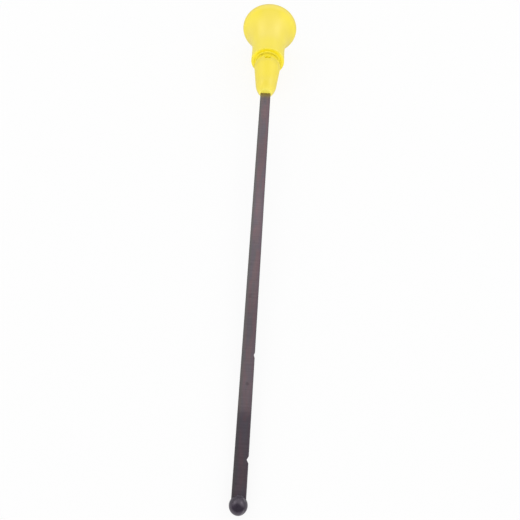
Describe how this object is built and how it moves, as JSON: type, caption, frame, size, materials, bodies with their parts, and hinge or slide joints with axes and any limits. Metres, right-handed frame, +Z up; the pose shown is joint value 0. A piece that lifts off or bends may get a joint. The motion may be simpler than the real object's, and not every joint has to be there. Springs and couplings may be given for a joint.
{
  "type": "engine oil dipstick",
  "caption": "Slim oil level dipstick: a moulded round knob with lip and tapered plug, a flat dark strip with two edge notches, and a ball tip.",
  "frame": {"origin": "middle of the bounding box, on the ground that the stick lies on", "axes": "+Y from the ball tip towards the knob, +X towards the notched edge, +Z up out of the strip's front face. The stick's own axis rises 2.75 degrees from the ground towards the knob."},
  "size_m": [0.0344, 0.293, 0.0344],
  "materials": {
    "handle": "semi-gloss moulded yellow nylon",
    "blade": "purple-brown oxide of tempered spring steel, satin, fine lengthwise grain",
    "ball_tip": "glossy near-black moulding"
  },
  "bodies": {
    "root": {"handle": "handle", "blade": "blade", "ball_tip": "ball_tip"}
  },
  "joints": []
}
